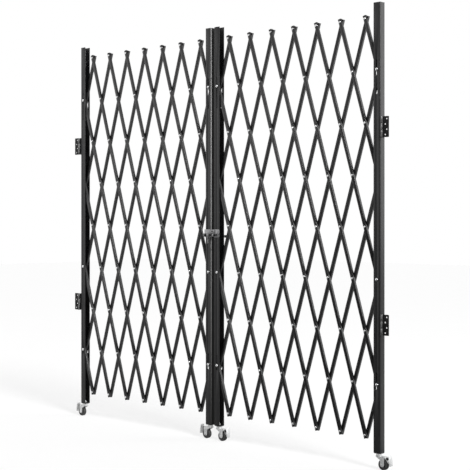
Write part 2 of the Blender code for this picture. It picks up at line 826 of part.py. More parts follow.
def caster_wheel():
    """Wheel with its tyre, about its axle."""
    bore = bore_radius(AXLE_RADIUS, WHEEL_SIDES)
    hub, half = WHEEL_HUB_WIDTH / 2, WHEEL_WIDTH / 2
    shoulder = half - WHEEL_EDGE
    profile = [
        (bore, -hub),
        (WHEEL_RADIUS - WHEEL_EDGE, -half),
        (WHEEL_RADIUS, -shoulder),
        (WHEEL_RADIUS, shoulder),
        (WHEEL_RADIUS - WHEEL_EDGE, half),
        (bore, hub),
    ]
    return turned(profile, WHEEL_SIDES, "Y", ring=True)


def casters(frame, post_places):
    """A fork and a wheel under each post. Casters trail away from the middle of the gate."""
    fork = mesh_from(caster_fork(), "fork")
    wheel = mesh_from(caster_wheel(), "wheel")
    for name, x in post_places.items():
        leftward = x < 0
        stem = name.replace("_post", "_caster")
        turn = math.pi if leftward else 0
        piece(f"{stem}_fork", fork.copy(), "zinc", frame, (x, LAYER_Y, 0), (0, 0, turn))
        wheel_x = x + (-TRAIL if leftward else TRAIL)
        piece(f"{stem}_wheel", wheel.copy(), "tyre", frame, (wheel_x, LAYER_Y, WHEEL_RADIUS))


def gate():
    """The whole gate."""
    for item in list(bpy.data.objects):
        bpy.data.objects.remove(item)
    frame = bpy.data.objects.new("gate_frame", None)
    bpy.context.scene.collection.objects.link(frame)
    wall_x = MEETING_X + HALF_WIDTH
    pin_x = wall_x - PIN_X
    leaf_middle = LEAF_EDGE_GAP + LEAF_WIDTH / 2
    upper = UPPER_HINGE_HEIGHT
    frame.location = (pin_x + leaf_middle, -PIN_Y - KNUCKLE_RADIUS, -upper)

    wall_post = post([post_leaf(height) for height in HINGE_HEIGHTS])
    left_wall = mesh_from(wall_post.copy(), "left_wall_post")
    right_wall = mesh_from(mirrored(wall_post), "right_wall_post")
    left_latch = mirrored(shifted(latch_on_left(), MEETING_X))
    left_meeting = mesh_from(mirrored(post([left_latch])), "left_meeting_post")
    right_latch = [shifted(form, -MEETING_X) for form in (latch_on_right(), rear_knob())]
    right_meeting = mesh_from(post(right_latch), "right_meeting_post")
    on_pin, on_pivot = (PIN_X, PIN_Y, upper), (0, 0, PIVOT_HEIGHT)
    for name, mesh, x, axis_at in (
        ("left_wall_post", left_wall, -wall_x, on_pin),
        ("left_meeting_post", left_meeting, -MEETING_X, on_pivot),
        ("right_meeting_post", right_meeting, MEETING_X, on_pivot),
        ("right_wall_post", right_wall, wall_x, on_pivot),
    ):
        piece(name, mesh, "paint", frame, (x, 0, 0), axis_at=axis_at)

    lattice("left", -wall_x, frame)
    lattice("right", MEETING_X, frame)

    left_leaf = mesh_from(wall_leaf(), "left_upper_wall_leaf")
    right_leaf = mesh_from(upside_down(wall_leaf()), "right_upper_wall_leaf")
    piece("left_upper_wall_leaf", left_leaf, "paint", frame, (-pin_x, PIN_Y, upper))
    piece("right_upper_wall_leaf", right_leaf, "paint", frame, (pin_x, PIN_Y, upper))

    bolt_place = (0, LATCH_BOLT_Y, LATCH_BOLT_Z)
    handle_place = (COLLAR_X, LATCH_BOLT_Y, LATCH_BOLT_Z)
    piece("latch_bolt", mesh_from(slide_bolt(), "latch_bolt"), "zinc", frame, bolt_place)
    piece("latch_handle", mesh_from(latch_handle(), "latch_handle"), "zinc", frame, handle_place)

    middle = POST_MIDDLE
    casters(
        frame,
        {
            "left_wall_post": -wall_x + middle,
            "left_meeting_post": -MEETING_X - middle,
            "right_meeting_post": MEETING_X + middle,
            "right_wall_post": wall_x - middle,
        },
    )
    bpy.context.view_layer.update()


gate()
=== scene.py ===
"""Double folding security gate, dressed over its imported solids.

Each piece is made at its place, measured from the middle of the opening, the front face of the
posts and the floor, and is then moved as one with the others into the frame of the solids.
"""

import json
import math

import bmesh
import bpy
from mathutils import Matrix, Vector


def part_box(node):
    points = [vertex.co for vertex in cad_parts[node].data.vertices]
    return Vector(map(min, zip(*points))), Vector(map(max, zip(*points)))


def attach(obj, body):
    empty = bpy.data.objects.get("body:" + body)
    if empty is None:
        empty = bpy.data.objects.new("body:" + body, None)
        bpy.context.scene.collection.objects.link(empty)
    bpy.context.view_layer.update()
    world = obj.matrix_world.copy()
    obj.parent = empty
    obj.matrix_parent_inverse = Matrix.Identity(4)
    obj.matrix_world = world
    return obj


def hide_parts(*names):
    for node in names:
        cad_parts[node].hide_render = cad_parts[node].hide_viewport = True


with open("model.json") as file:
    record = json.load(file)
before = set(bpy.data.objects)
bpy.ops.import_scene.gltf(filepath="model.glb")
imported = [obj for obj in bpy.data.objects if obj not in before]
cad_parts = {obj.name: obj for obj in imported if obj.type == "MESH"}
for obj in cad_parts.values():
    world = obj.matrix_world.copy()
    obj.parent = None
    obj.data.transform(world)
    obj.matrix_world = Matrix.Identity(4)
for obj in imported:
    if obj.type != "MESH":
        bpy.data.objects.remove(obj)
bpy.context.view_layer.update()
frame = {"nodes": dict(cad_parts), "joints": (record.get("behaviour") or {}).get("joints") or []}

# Channel posts
# Each post is 2 mm sheet steel folded to a channel that is open towards its lattice. Slots for
# the sliding bolts are punched through both flanges before the black powder coat is baked on.

POST_WIDTH = 0.038
POST_DEPTH = 0.035
POST_WALL = 0.002
POST_FOOT = 0.076
POST_TOP = 2.134
POST_FOLD = 0.0032
BOLT_INSET = 0.020
POST_OPEN_EDGE = POST_WIDTH - BOLT_INSET
PIVOT_HEIGHT = 0.8675
SLOT_RADIUS = 0.0037
SLOT_ROUND = SLOT_RADIUS * 0.995
SLOT_HEIGHTS = ((1.7189, 1.8696), (0.3665, 0.4418))
FOOT_PLATE_X = (-0.0178, 0.0172)
FOOT_PLATE_Z = (0.0732, 0.079)
# These three set where the meeting posts' webs face each other and get painted shade, and the
# depth and height of a painted highlight strip along their front edge.
HIGHLIGHT_DEPTH = (0.0048, 0.0068)
FACING_SIDE = (0.0126, 0.0150)
HIGHLIGHT_FADE_HEIGHT = (0.0, 1.5)
# Cutters run past by OVERRUN, pieces that touch are a HAIR apart or overlap by one, and most
# edges are eased by EDGE.
OVERRUN = 0.01
HAIR = 0.0002
EDGE = 0.0003

hinges = [joint for joint in frame["joints"] if "pos_m" in joint]
hinge_at = {joint["child"]: Vector(joint["pos_m"]) for joint in hinges}
first_pivot = hinge_at["left_back_bar_03"]
floor_height = first_pivot.z - PIVOT_HEIGHT
middle_x = (hinge_at["left_meeting_post"].x + hinge_at["right_back_bar_03"].x) / 2
TO_SOLIDS = Matrix.Translation((middle_x, first_pivot.y, floor_height))
POSTS = {
    "left_wall_post": (first_pivot.x - middle_x, 1),
    "left_meeting_post": (hinge_at["left_meeting_post"].x - middle_x, -1),
    "right_meeting_post": (hinge_at["right_back_bar_03"].x - middle_x, 1),
    "right_wall_post": (hinge_at["right_wall_post"].x - middle_x, -1),
}


def only(piece):
    """Object mode with one piece selected and active."""
    if bpy.context.object and bpy.context.object.mode == "EDIT":
        bpy.ops.object.mode_set(mode="OBJECT")
    bpy.ops.object.select_all(action="DESELECT")
    piece.select_set(True)
    bpy.context.view_layer.objects.active = piece
    return piece


def block(name, x, y, z):
    """A cube stretched between three pairs of places."""
    bpy.ops.object.select_all(action="DESELECT")
    middle = [(low + high) / 2 for low, high in (x, y, z)]
    size = [high - low for low, high in (x, y, z)]
    bpy.ops.mesh.primitive_cube_add(size=1, location=middle, scale=size)
    return named(name)


def rod(name, radius, start, end, sides=24):
    """A cylinder between two places."""
    bpy.ops.object.select_all(action="DESELECT")
    start, end = Vector(start), Vector(end)
    turn = (end - start).to_track_quat("Z", "Y").to_euler()
    bpy.ops.mesh.primitive_cylinder_add(
        vertices=sides,
        radius=radius,
        depth=(end - start).length,
        location=(start + end) / 2,
        rotation=turn,
    )
    return named(name)


def named(name):
    """The new primitive under its own name, with its place in its mesh."""
    piece = bpy.context.object
    piece.name = piece.data.name = name
    bpy.ops.object.transform_apply(location=True, rotation=True, scale=True)
    return piece


def about(middle, half):
    """The two places at one distance on both sides of a middle."""
    return middle - half, middle + half


def near(place, target):
    """Whether a place is within a millimetre of another."""
    return abs(place - target) < 0.001


def along_x(way):
    """Whether an edge or a normal runs from side to side."""
    return abs(way.x) > 0.9


def along_y(way):
    """Whether an edge or a normal runs from front to back."""
    return abs(way.y) > 0.9


def along_z(way):
    """Whether an edge or a normal runs up and down."""
    return abs(way.z) > 0.9


def pick_faces(piece, wanted):
    """Edit mode with the faces selected whose middle and normal are wanted."""
    only(piece)
    bpy.ops.object.mode_set(mode="EDIT")
    bpy.ops.mesh.select_mode(type="FACE")
    bpy.ops.mesh.select_all(action="DESELECT")
    form = bmesh.from_edit_mesh(piece.data)
    for face in form.faces:
        face.select_set(bool(wanted(face.calc_center_median(), face.normal)))
    bmesh.update_edit_mesh(piece.data)


def pick_edges(piece, wanted):
    """Edit mode with the edges selected whose middle and direction are wanted."""
    only(piece)
    bpy.ops.object.mode_set(mode="EDIT")
    bpy.ops.mesh.select_mode(type="EDGE")
    bpy.ops.mesh.select_all(action="DESELECT")
    form = bmesh.from_edit_mesh(piece.data)
    for edge in form.edges:
        ends = [corner.co for corner in edge.verts]
        edge.select_set(bool(wanted((ends[0] + ends[1]) / 2, (ends[1] - ends[0]).normalized())))
    bmesh.update_edit_mesh(piece.data)


def rounded(piece, radius, segments, wanted):
    """The picked edges rounded off."""
    pick_edges(piece, wanted)
    bpy.ops.mesh.bevel(offset=radius, segments=segments, affect="EDGES")
    return only(piece)


def modified(piece, kind, **settings):
    """A modifier put on a piece and applied."""
    only(piece)
    modifier = piece.modifiers.new(kind.title(), kind)
    for key, value in settings.items():
        setattr(modifier, key, value)
    bpy.ops.object.modifier_apply(modifier=modifier.name)
    return piece


def punched(piece, tool, operation="DIFFERENCE"):
    """A piece with a tool's shape cut out of it, or welded to it."""
    modified(piece, "BOOLEAN", operation=operation, solver="EXACT", object=tool)
    bpy.data.objects.remove(tool)
    return piece


def smoothed(limit):
    """The active piece shaded smooth, but for edges sharper than a limit in degrees."""
    bpy.ops.object.shade_smooth_by_angle(angle=math.radians(limit))


def eased(piece, width, limit=35):
    """All sharp edges taken off a little, and the round ones shaded smooth."""
    modified(
        piece,
        "BEVEL",
        width=width,
        segments=2,
        limit_method="ANGLE",
        angle_limit=math.radians(limit),
    )
    smoothed(32)
    return piece


def copied(piece, name):
    """A copy with its own mesh."""
    copy = piece.copy()
    copy.data = piece.data.copy()
    bpy.context.scene.collection.objects.link(copy)
    copy.name = copy.data.name = name
    return copy


def moved(piece, place=(0, 0, 0), turn=(0, 0, 0), mirror=False):
    """A piece turned, mirrored across X if asked, and moved, all kept in its mesh."""
    only(piece)
    piece.location, piece.rotation_euler = place, turn
    piece.scale = (-1 if mirror else 1, 1, 1)
    bpy.ops.object.transform_apply(location=True, rotation=True, scale=True)
    if mirror:
        pick_faces(piece, lambda m, normal: True)
        bpy.ops.mesh.normals_make_consistent(inside=False)
        only(piece)
    return piece


def welded(name, first, *others):
    """Several pieces joined into the first, which gets a new name."""
    only(first)
    for other in others:
        other.select_set(True)
    if others:
        bpy.ops.object.join()
    first.name = first.data.name = name
    return first


class Wire:
    """A shader socket that can stand in a sum."""

    def __init__(self, finish, socket):
        self.finish, self.socket = finish, socket

    def __add__(self, other):
        return self.finish.sum("ADD", self, other)

    def __radd__(self, other):
        return self.finish.sum("ADD", other, self)

    def __sub__(self, other):
        return self.finish.sum("SUBTRACT", self, other)

    def __rsub__(self, other):
        return self.finish.sum("SUBTRACT", other, self)

    def __mul__(self, other):
        return self.finish.sum("MULTIPLY", self, other)

    def __rmul__(self, other):
        return self.finish.sum("MULTIPLY", other, self)


class Finish:
    """A material whose nodes are made one by one."""

    def __init__(self, name):
        self.material = bpy.data.materials.new(name)
        self.material.use_nodes = True
        self.tree = self.material.node_tree
        self.shader = self.tree.nodes["Principled BSDF"]
        self.place = self.node("ShaderNodeTexCoord", out="Object")

    def node(self, kind, settings=None, inputs=None, out=0):
        """One node: its settings first, then the values or wires of its sockets."""
        made = self.tree.nodes.new(kind)
        for key, value in (settings or {}).items():
            if key == "stops":
                for stop, (position, colour) in zip(made.color_ramp.elements, value):
                    stop.position, stop.color = position, colour
            else:
                setattr(made, key, value)
        for key, value in (inputs or {}).items():
            self.plug(made.inputs[key], value)
        return Wire(self, made.outputs[out])

    def plug(self, socket, value):
        """A value or a wire put into a socket."""
        if isinstance(value, Wire):
            self.tree.links.new(value.socket, socket)
        else:
            socket.default_value = value

    def sum(self, operation, first, second):
        """One Math node."""
        return self.node("ShaderNodeMath", {"operation": operation}, {0: first, 1: second})

    def axis(self, letter):
        """The place along one axis of the solids' frame."""
        return self.node("ShaderNodeSeparateXYZ", None, {0: self.place}, out=letter)

    def noise(self, scale, detail=2.0, roughness=0.5):
        """Noise over the piece, from 0 to 1."""
        inputs = {"Vector": self.place, "Scale": scale, "Detail": detail, "Roughness": roughness}
        return self.node("ShaderNodeTexNoise", None, inputs, out="Fac")

    def between(self, factor, first, second):
        """A colour between two colours."""
        settings = {"data_type": "RGBA"}
        return self.node("ShaderNodeMix", settings, {0: factor, 6: first, 7: second}, out=2)

    def band(self, value, low, high):
        """A value spread so that low to high becomes 0 to 1."""
        inputs = {"Value": value, "From Min": low, "From Max": high}
        return self.node("ShaderNodeMapRange", {"clamp": True}, inputs)

    def bumped(self, height, distance, strength=1.0):
        """A normal with the height's relief."""
        inputs = {"Height": height, "Distance": distance, "Strength": strength}
        return self.node("ShaderNodeBump", None, inputs)

    def coat(self, inputs):
        """The shader's own sockets."""
        for key, value in inputs.items():
            self.plug(self.shader.inputs[key], value)
        return self.material


def powder_coat(name, shine=0.25, tone=1.0, painted_light=None):
    """Smooth black powder coat: a fine orange peel, a faint haze and a few rubbed specks."""
    finish = Finish(name)
    haze = finish.band(finish.noise(9.0, 4.0), 0.35, 0.75)
    specks = finish.band(finish.noise(420.0, 3.0), 0.64, 0.80)
    peel = finish.noise(900.0, 2.0) * 0.7 + finish.noise(2600.0, 1.0) * 0.3
    dark = (0.011 * tone, 0.011 * tone, 0.0115 * tone, 1)
    light = (0.016 * tone, 0.016 * tone, 0.0165 * tone, 1)
    colour = finish.between(haze, dark, light)
    colour = finish.between(specks * 0.5, colour, (0.030, 0.030, 0.031, 1))
    roughness = 0.28 + haze * 0.08 + specks * 0.12
    # A hook may paint light and shade into the colour, and change the roughness.
    if painted_light:
        colour, roughness = painted_light(finish, colour, roughness)
    return finish.coat(
        {
            "Base Color": colour,
            "Roughness": roughness,
            "Specular IOR Level": shine,
            "Normal": finish.bumped(peel, 0.00003),
        }
    )


def paint_gap_shade_and_highlight(finish, colour, roughness):
    """Facing webs of the meeting posts: matt, with painted shade and a grey painted highlight at
    the front edge.
    """
    across = finish.axis("X") - middle_x
    deep = finish.axis("Y") - first_pivot.y
    high = finish.axis("Z") - floor_height
    facing = finish.band(finish.sum("ABSOLUTE", across, 0.0), FACING_SIDE[1], FACING_SIDE[0])
    # Painted highlight: a grey strip along the front edge of the facing webs, broken up by noise
    # and fading out towards the floor.
    highlight_strip = finish.band(deep, HIGHLIGHT_DEPTH[1], HIGHLIGHT_DEPTH[0]) * facing
    highlight_amount = finish.band(finish.noise(60.0, 4.0), 0.15, 0.40)
    highlight_amount = highlight_amount * finish.band(high, *HIGHLIGHT_FADE_HEIGHT)
    # Painted shade: the facing webs are coloured near black, where they stand in each other's
    # shade.
    shaded = finish.between(facing, colour, (0.0015, 0.0015, 0.0015, 1))
    grey = finish.between(highlight_strip * highlight_amount, shaded, (0.25, 0.25, 0.25, 1))
    return grey, roughness + facing * 0.45


PAINT = powder_coat("black_powder_coat")
# The meeting posts' coat, with painted shade and a painted highlight on the webs that face each
# other.
GAP_SHADE_AND_HIGHLIGHT_PAINT = powder_coat("powder_coat_with_painted_shade_and_highlight", painted_light=paint_gap_shade_and_highlight)


def fitted(piece, body, material, slot, *nodes):
    """A finished piece put in the solids' frame, painted, and riding on its body."""
    piece.data.transform(TO_SOLIDS)
    piece.data.materials.clear()
    piece.data.materials.append(material)
    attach(piece, body)
    if nodes:
        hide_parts(*nodes)
    return piece


post = block("post", (-BOLT_INSET, POST_OPEN_EDGE), (0, POST_DEPTH), (POST_FOOT, POST_TOP))
pick_faces(post, lambda m, normal: normal.x > 0.9 or along_z(normal))
bpy.ops.mesh.delete(type="FACE")
rounded(post, POST_FOLD, 5, lambda m, way: near(m.x, -BOLT_INSET) and along_z(way))
modified(post, "SOLIDIFY", thickness=POST_WALL, offset=-1, use_even_offset=True)
for low, high in SLOT_HEIGHTS:
    ends = (low - SLOT_RADIUS, high + SLOT_RADIUS)
    slot = block("slot", about(0, SLOT_RADIUS), (-OVERRUN, POST_DEPTH + OVERRUN), ends)
    rounded(slot, SLOT_ROUND, 6, lambda m, way: along_y(way))
    punched(post, slot)
eased(post, EDGE)
foot_y = (POST_WALL + HAIR, POST_DEPTH - POST_WALL - HAIR)
foot = eased(block("foot", FOOT_PLATE_X, foot_y, FOOT_PLATE_Z), 2 * EDGE)
for name, (bolt_x, way) in POSTS.items():
    for source, part in ((post, "channel"), (foot, "foot_plate")):
        piece = moved(copied(source, f"{name}_{part}"), (bolt_x, 0, 0), mirror=way < 0)
        # The meeting posts take the coat with painted shade and a painted highlight.
        paint = GAP_SHADE_AND_HIGHLIGHT_PAINT if "meeting" in name else PAINT
        fitted(piece, name, paint, "black_paint", name)
bpy.data.objects.remove(post)
bpy.data.objects.remove(foot)

# Lattice bars
# Each half has 11 bars in front that fall to the right and 11 behind that rise to the right.
# A bar is roll-formed steel channel with its web to the front and its ends cut off square.

BAR_WIDTH = 0.0165
BAR_DEPTH = 0.0125
BAR_WALL = 0.0012
BAR_FOLD = 0.0021
BAR_EDGE = 0.0002
BAR_OVERHANG = 0.015
BAR_PITCH = 0.251
BAR_LEAN = math.radians(17.0)
LAYER_Y = POST_DEPTH / 2
RUN_GAP = 0.0003
FRONT_WEB_Y = LAYER_Y - RUN_GAP / 2 - BAR_DEPTH
BACK_WEB_Y = LAYER_Y + RUN_GAP / 2


def bar_stock(crossings):
    """A bar upright on its middle, its web's front at Y zero and its open side to the back."""
    half = (crossings - 1) * BAR_PITCH / 2 + BAR_OVERHANG
    bar = block("bar", about(0, BAR_WIDTH / 2), (0, BAR_DEPTH), about(0, half))
    pick_faces(bar, lambda m, normal: normal.y > 0.9 or along_z(normal))
    bpy.ops.mesh.delete(type="FACE")
    rounded(bar, BAR_FOLD, 4, lambda m, way: near(m.y, 0) and along_z(way))
    modified(bar, "SOLIDIFY", thickness=BAR_WALL, offset=-1, use_even_offset=True)
    return eased(bar, BAR_EDGE, 60)


def bar_run(node):
    """Middle of a bar in the gate and how many other bars it crosses."""
    low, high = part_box(node)
    middle = (low + high) / 2 - TO_SOLIDS.translation
    length = (high.z - low.z - BAR_WIDTH * math.sin(BAR_LEAN)) / math.cos(BAR_LEAN)
    return Vector((middle.x, 0, middle.z)), round((length - 2 * BAR_OVERHANG) / BAR_PITCH) + 1


BAR_PAINT = powder_coat("bar_powder_coat", 0.36, 0.6)
bar_names = [name for name in frame["nodes"] if "_bar_" in name]
runs = {name: bar_run(name) for name in sorted(bar_names)}
stock = {count: bar_stock(count) for count in sorted({count for _, count in runs.values()})}
for name, (middle, count) in runs.items():
    front = "front" in name
    bar = copied(stock[count], f"{name}_channel")
    web = Vector((0, FRONT_WEB_Y if front else BACK_WEB_Y, 0))
    moved(bar, middle + web, (0, -BAR_LEAN if front else BAR_LEAN, 0))
    fitted(bar, name, BAR_PAINT, "black_paint", name)
for bar in stock.values():
    bpy.data.objects.remove(bar)

# Rivets and bolts
# A zinc-plated rivet holds each crossing, with its dome on the front bar's web. Bolts take the
# lattice into the posts: the middle one is fixed and the other two slide in the slots.

RIVET_RADIUS = 0.0058
RIVET_RISE = 0.0025
RIVET_RIM = 0.0006
RIVET_SHAFT = 0.003
TAIL_RADIUS = 0.0042
TAIL_RISE = 0.0012
BOLT_HEAD_RADIUS = 0.0074
BOLT_HEAD_RISE = 0.005
BOLT_RIM = 0.0016
BOLT_RADIUS = 0.0034
BOLT_TAIL = 0.003
NUT_RADIUS = 0.0068
NUT_HEIGHT = 0.006
NUT_EDGE = 0.0005
SHAFT_SINK = 0.0005
PIVOT_REACH = 0.01


def zinc_plate(name, dark, light, roughness, metallic=1.0):
    """Zinc plate: clear or dull metal with soft cloudy patches and fine drawing marks."""
    finish = Finish(name)
    clouds = finish.band(finish.noise(160.0, 4.0, 0.6), 0.3, 0.7)
    marks = finish.noise(2400.0, 2.0)
    return finish.coat(
        {
            "Base Color": finish.between(clouds, (*dark, 1), (*light, 1)),
            "Metallic": metallic,
            "Roughness": roughness + clouds * 0.12 + marks * 0.06,
            "Normal": finish.bumped(marks, 0.00002),
        }
    )


ZINC = zinc_plate("bright_zinc_plate", (0.66, 0.67, 0.69), (0.84, 0.84, 0.83), 0.24)


def stepped(piece, wanted, steps):
    """The picked faces inset by steps of (inset, rise), one after another."""
    pick_faces(piece, wanted)
    for inset, rise in steps:
        bpy.ops.mesh.inset(thickness=inset, depth=rise)
    return only(piece)


def arc_steps(radius, rise, count):
    """Steps that make a low dome of a rise on a round face."""
    angles = [math.pi / 2 * step / count for step in range(count)] + [math.radians(84)]
    points = [(radius * math.cos(angle), rise * math.sin(angle)) for angle in angles]
    return [(a[0] - b[0], b[1] - a[1]) for a, b in zip(points, points[1:])]


def front_face(middle, normal):
    """Whether a face looks to the front."""
    return normal.y < -0.9


def back_face(middle, normal):
    """Whether a face looks to the back."""
    return normal.y > 0.9


web_back = BACK_WEB_Y + BAR_WALL
head_ends = (0, FRONT_WEB_Y + HAIR, 0), (0, FRONT_WEB_Y - RIVET_RIM, 0)
rivet_head = rod("rivet", RIVET_RADIUS, *head_ends, 16)
stepped(rivet_head, front_face, arc_steps(RIVET_RADIUS, RIVET_RISE - RIVET_RIM, 4))
tail_ends = (0, web_back - HAIR, 0), (0, web_back + RIVET_RIM, 0)
rivet_tail = rod("tail", TAIL_RADIUS, *tail_ends, 16)
stepped(rivet_tail, back_face, arc_steps(TAIL_RADIUS, TAIL_RISE, 3))
shaft = rod("shaft", RIVET_SHAFT, (0, FRONT_WEB_Y + SHAFT_SINK, 0), (0, web_back, 0), 12)
rivet = welded("rivet", rivet_head, shaft, rivet_tail)
smoothed(40)

bolt_head = rod("bolt", BOLT_HEAD_RADIUS, (0, -RUN_GAP, 0), (0, -BOLT_RIM, 0), 32)
stepped(bolt_head, front_face, arc_steps(BOLT_HEAD_RADIUS, BOLT_HEAD_RISE - BOLT_RIM, 6))
nut_start = POST_DEPTH + RUN_GAP
nut_end = nut_start + NUT_HEIGHT
nut = eased(rod("nut", NUT_RADIUS, (0, nut_start, 0), (0, nut_end, 0), 6), NUT_EDGE)
tail_end = nut_end + BOLT_TAIL
shank = rod("shank", BOLT_RADIUS, (0, -SHAFT_SINK, 0), (0, tail_end, 0), 24)
rounded(shank, 2 * EDGE, 2, lambda m, way: near(m.y, tail_end))
bolt = welded("bolt", bolt_head, nut, shank)
smoothed(35)


def on_post(x):
    """Whether a crossing lies on a post's line of bolts."""
    return any(near(x, bolt_x) for bolt_x, _ in POSTS.values())


for name, (middle, count) in runs.items():
    if "front" not in name:
        continue
    along = Vector((-math.sin(BAR_LEAN), 0, math.cos(BAR_LEAN))) * BAR_PITCH
    rivets, slider_bolts = [], []
    for step in range(count):
        place = middle + along * (step - (count - 1) / 2)
        in_slot = any(low < place.z < high for low, high in SLOT_HEIGHTS)
        at_pivot = abs(place.z - PIVOT_HEIGHT) < PIVOT_REACH
        if on_post(place.x) and in_slot:
            slider_bolts.append(moved(copied(bolt, "bolt_copy"), place))
        elif not (on_post(place.x) and at_pivot):
            rivets.append(moved(copied(rivet, "rivet_copy"), place))
    fitted(welded(f"{name}_rivets", *rivets), name, ZINC, "zinc", name)
    if slider_bolts:
        fitted(welded(f"{name}_slider_bolt", *slider_bolts), name, ZINC, "zinc", name)
for name, (bolt_x, _) in POSTS.items():
    pivot = moved(copied(bolt, f"{name}_pivot_bolt"), (bolt_x, 0, PIVOT_HEIGHT))
    fitted(pivot, name, ZINC, "zinc", name)
bpy.data.objects.remove(rivet)
bpy.data.objects.remove(bolt)

# Wall hinges
# Steel butt hinges let the gate swing flat against the walls. One leaf is bent round the post's
# web, the other has four staggered screw holes, and a steel pin runs through three knuckles.

HINGE_HEIGHTS = {"upper": 1.563, "lower": 0.663}
LEAF_HEIGHT = 0.0955
LEAF_WIDTH = 0.033
LEAF_WALL = 0.0025
LEAF_CORNER = 0.003
BENT_DEPTH = 0.028
KNUCKLE_RADIUS = 0.005
KNUCKLE_EDGE = 0.0004
KNUCKLE_GAP = 0.0005
PIN_RADIUS = 0.0024
PIN_RISE = 0.0006
PIN_INSET = 0.012
PIN_Y = -0.006
SCREW_PLACES = ((0.0358, 0.62), (0.0119, 0.36), (-0.0119, 0.62), (-0.0358, 0.36))
SCREW_RADIUS = 0.0032
SINK_DEPTH = 0.0015
SINK_SPREAD = 1.5
OVERLAP = 0.001
leaf_y = (PIN_Y + KNUCKLE_RADIUS - LEAF_WALL, PIN_Y + KNUCKLE_RADIUS)
leaf_z = about(0, LEAF_HEIGHT / 2)
web_x = POSTS["left_wall_post"][0] - BOLT_INSET
pin_x = web_x - PIN_INSET
edge_gap = KNUCKLE_RADIUS + KNUCKLE_GAP


def knuckle_ends(index):
    """Lowest and highest place of one of three knuckles, counted from the bottom."""
    length = LEAF_HEIGHT / 3
    low = leaf_z[0] + index * length + RUN_GAP / 2
    return low, low + length - RUN_GAP


def barrel(index):
    """A knuckle round the pin."""
    low, high = knuckle_ends(index)
    form = rod("knuckle", KNUCKLE_RADIUS, (pin_x, PIN_Y, low), (pin_x, PIN_Y, high), 32)
    return eased(form, KNUCKLE_EDGE, 60)


def tongue(index):
    """The strip of a leaf that a knuckle is rolled from."""
    side = -1 if index == 1 else 1
    reach = sorted((pin_x, pin_x + side * (edge_gap + OVERLAP)))
    return block("tongue", reach, leaf_y, knuckle_ends(index))


wall_edge = pin_x - edge_gap
free_edge = wall_edge - LEAF_WIDTH
leaf_plate = block("leaf", (free_edge, wall_edge), leaf_y, leaf_z)
rounded(leaf_plate, LEAF_CORNER, 4, lambda m, way: near(m.x, free_edge) and along_y(way))
for height, share in SCREW_PLACES:
    x = free_edge + share * LEAF_WIDTH
    hole_ends = (x, leaf_y[1] + OVERLAP, height), (x, leaf_y[0] + OVERLAP, height)
    hole = rod("hole", SCREW_RADIUS, *hole_ends)
    pick_faces(hole, front_face)
    forward = {"value": (0, -SINK_DEPTH, 0)}
    bpy.ops.mesh.extrude_region_move(TRANSFORM_OT_translate=forward)
    spread = (SINK_SPREAD, 1, SINK_SPREAD)
    bpy.ops.transform.resize(value=spread, center_override=(x, leaf_y[0], height))
    punched(leaf_plate, only(hole))
eased(leaf_plate, EDGE)
wall_leaf = welded("wall_leaf", leaf_plate, tongue(1))
wall_barrel = barrel(1)
pin_ends = (pin_x, PIN_Y, leaf_z[0] - PIN_RISE), (pin_x, PIN_Y, leaf_z[1])
pin = eased(rod("pin", PIN_RADIUS, *pin_ends), 2 * EDGE, 60)

bent_x = (web_x - LEAF_WALL, web_x + HAIR)
bent = block("bent", bent_x, (leaf_y[0], BENT_DEPTH), leaf_z)
rounded(bent, LEAF_CORNER, 4, lambda m, way: near(m.y, BENT_DEPTH) and along_x(way))
eased(bent, EDGE)
arm = block("arm", (pin_x + edge_gap, web_x - LEAF_WALL + HAIR), leaf_y, leaf_z)
post_leaf = welded("post_leaf", bent, arm, tongue(0), tongue(2))
post_barrels = welded("post_barrels", barrel(0), barrel(2))
LEAF_PAINT = powder_coat("leaf_powder_coat", 0.10, 0.6)
RUBBED_STEEL = zinc_plate("rubbed_steel", (0.10, 0.10, 0.10), (0.24, 0.24, 0.24), 0.42)
for half, sign in (("left", 1), ("right", -1)):
    for level, height in HINGE_HEIGHTS.items():
        stem = f"{half}_{level}_hinge"
        leaf_body = f"{half}_upper_wall_leaf"
        post_body = f"{half}_wall_post"
        turned = (0, 0 if sign > 0 else math.pi, 0)
        piece = moved(copied(wall_leaf, f"{stem}_wall_leaf"), (0, 0, height), turned)
        fitted(piece, leaf_body, LEAF_PAINT, "black_paint", leaf_body)
        for source, part, body, material in (
            (wall_barrel, "wall_barrel", leaf_body, RUBBED_STEEL),
            (pin, "pin", leaf_body, RUBBED_STEEL),
            (post_leaf, "post_leaf", post_body, LEAF_PAINT),
            (post_barrels, "post_barrels", post_body, RUBBED_STEEL),
        ):
            piece = moved(copied(source, f"{stem}_{part}"), (0, 0, height), mirror=sign < 0)
            fitted(piece, body, material, "black_paint", body)
for source in (wall_leaf, wall_barrel, pin, post_leaf, post_barrels):
    bpy.data.objects.remove(source)

# Slide bolt latch
# A zinc-plated barrel bolt joins the halves: a plate with two saddles and a hasp eye on the left
# post, and a plate with the keeper and the other eye on the right. A lever turns on its collar.

LATCH_HEIGHTS = (1.048, 1.089)
LATCH_WALL = 0.002
LATCH_CORNER = 0.003
PLATE_INSET = 0.0005
PLATE_END = 0.008
MEETING_HALF = 0.012
BOLT_Y = -0.011
BOLT_Z = 1.060
SLIDE_RADIUS = 0.005
SLIDE_TIP = 0.028
SLIDE_ROUND = 0.0012
SADDLE_HALF = 0.008
SADDLE_ROUND = 0.0045
SADDLE_INSET = 0.001
SADDLE_WIDTH = 0.005
KEEPER_WIDTH = 0.009
HASP_HEIGHTS = (1.069, 1.0885)
HASP_ROUND = 0.006
EYE_HEIGHT = 1.079
EYE_RADIUS = 0.0045
EYE_ROOT = 0.008
EYE_REACH = 0.010
LEFT_EYE_Y = (-0.0017, -0.0003)
RIGHT_EYE_Y = (-0.0043, -0.0023)


